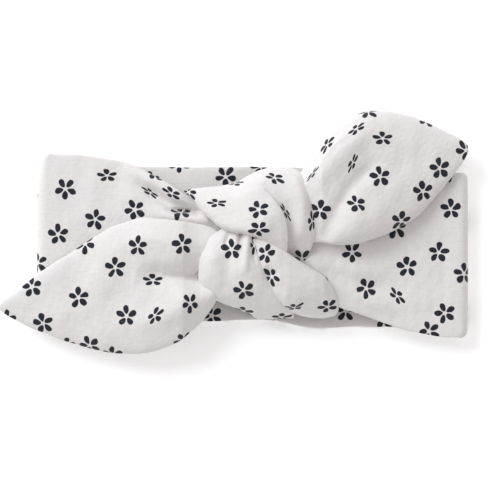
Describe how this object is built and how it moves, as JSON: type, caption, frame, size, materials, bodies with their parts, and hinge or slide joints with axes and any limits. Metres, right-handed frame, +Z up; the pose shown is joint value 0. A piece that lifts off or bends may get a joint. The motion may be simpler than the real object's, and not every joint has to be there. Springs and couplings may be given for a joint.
{
  "type": "knotted headband",
  "caption": "Wide soft cloth headband lying flat as a closed loop, with a front knot, two ear-like pointed ends and an open middle for the head.",
  "frame": {"origin": "middle of the back of the band, on the surface the flattened headband lies on", "axes": "+X along the flattened band, +Y across it towards the top edge of the front, +Z up out of the surface, towards the knot"},
  "size_m": [0.2174, 0.1123, 0.029],
  "materials": {
    "print_cloth": "white crinkled cotton with a scattered small dark blue five-petal print, matte",
    "lining_cloth": "the same white crinkled cotton with the same print, which shows on the inside of the back, matte",
    "thread": "white sewing thread"
  },
  "bodies": {
    "back_centre": {"back_centre_outer": "print_cloth", "back_centre_lining": "lining_cloth", "back_centre_allowance": "lining_cloth", "back_centre_thread": "thread", "closing_stitches": "thread"},
    "back_left": {"back_left_outer": "print_cloth", "back_left_lining": "lining_cloth", "back_left_allowance": "lining_cloth", "back_left_thread": "thread"},
    "front_left": {"left_fold_outer": "print_cloth", "left_fold_lining": "lining_cloth", "front_left_outer": "print_cloth", "front_left_lining": "lining_cloth", "front_left_allowance": "lining_cloth", "front_left_thread": "thread"},
    "knot": {"left_neck_outer": "print_cloth", "left_neck_lining": "lining_cloth", "right_neck_outer": "print_cloth", "right_neck_lining": "lining_cloth", "knot_core": "print_cloth", "over_wrap_outer": "print_cloth", "over_wrap_lining": "lining_cloth", "lower_wrap_outer": "print_cloth", "lower_wrap_lining": "lining_cloth", "tail_wrap_outer": "print_cloth", "tail_wrap_lining": "lining_cloth", "left_ear_root_outer": "print_cloth", "left_ear_root_lining": "lining_cloth", "right_ear_root_outer": "print_cloth", "right_ear_root_lining": "lining_cloth"},
    "front_right": {"right_fold_outer": "print_cloth", "right_fold_lining": "lining_cloth", "front_right_outer": "print_cloth", "front_right_lining": "lining_cloth", "front_right_allowance": "lining_cloth", "front_right_thread": "thread"},
    "back_right": {"back_right_outer": "print_cloth", "back_right_lining": "lining_cloth", "back_right_allowance": "lining_cloth", "back_right_thread": "thread"},
    "left_ear": {"left_ear_outer": "print_cloth", "left_ear_lining": "lining_cloth", "left_ear_allowance": "lining_cloth", "left_ear_thread": "thread"},
    "right_ear": {"right_ear_outer": "print_cloth", "right_ear_lining": "lining_cloth", "right_ear_allowance": "lining_cloth", "right_ear_thread": "thread"}
  },
  "joints": [
    {"name": "left_back_bend", "type": "hinge", "parent": "back_centre", "child": "back_left", "pos_m": [-0.034, 0, 0.002], "axis": [0, 1, 0], "range_deg": [0, 60]},
    {"name": "left_side_fold", "type": "hinge", "parent": "back_left", "child": "front_left", "pos_m": [-0.095, 0, 0.005], "axis": [0, -1, 0], "range_deg": [0, 120], "deforming": ["left_fold_outer", "left_fold_lining"]},
    {"name": "left_knot_bend", "type": "hinge", "parent": "front_left", "child": "knot", "pos_m": [-0.034, 0, 0.008], "axis": [0, 1, 0], "range_deg": [0, 60]},
    {"name": "right_knot_bend", "type": "hinge", "parent": "knot", "child": "front_right", "pos_m": [0.034, 0, 0.008], "axis": [0, 1, 0], "range_deg": [0, 60]},
    {"name": "right_side_fold", "type": "hinge", "parent": "front_right", "child": "back_right", "pos_m": [0.095, 0, 0.005], "axis": [0, -1, 0], "range_deg": [0, 120], "deforming": ["right_fold_outer", "right_fold_lining"]},
    {"name": "left_ear_lift", "type": "hinge", "parent": "knot", "child": "left_ear", "pos_m": [-0.0272, -0.01105, 0.0206], "axis": [-0.1861, 0.9825, 0], "range_deg": [0, 80]},
    {"name": "right_ear_lift", "type": "hinge", "parent": "knot", "child": "right_ear", "pos_m": [0.0306, 0.0191, 0.0226], "axis": [0.321, -0.9471, 0], "range_deg": [0, 70]}
  ],
  "couplings": [
    {"joint": "left_side_fold", "follows": "left_back_bend", "ratio": 2},
    {"joint": "left_knot_bend", "follows": "left_back_bend", "ratio": 1},
    {"joint": "right_knot_bend", "follows": "left_back_bend", "ratio": 1},
    {"joint": "right_side_fold", "follows": "left_back_bend", "ratio": 2}
  ]
}
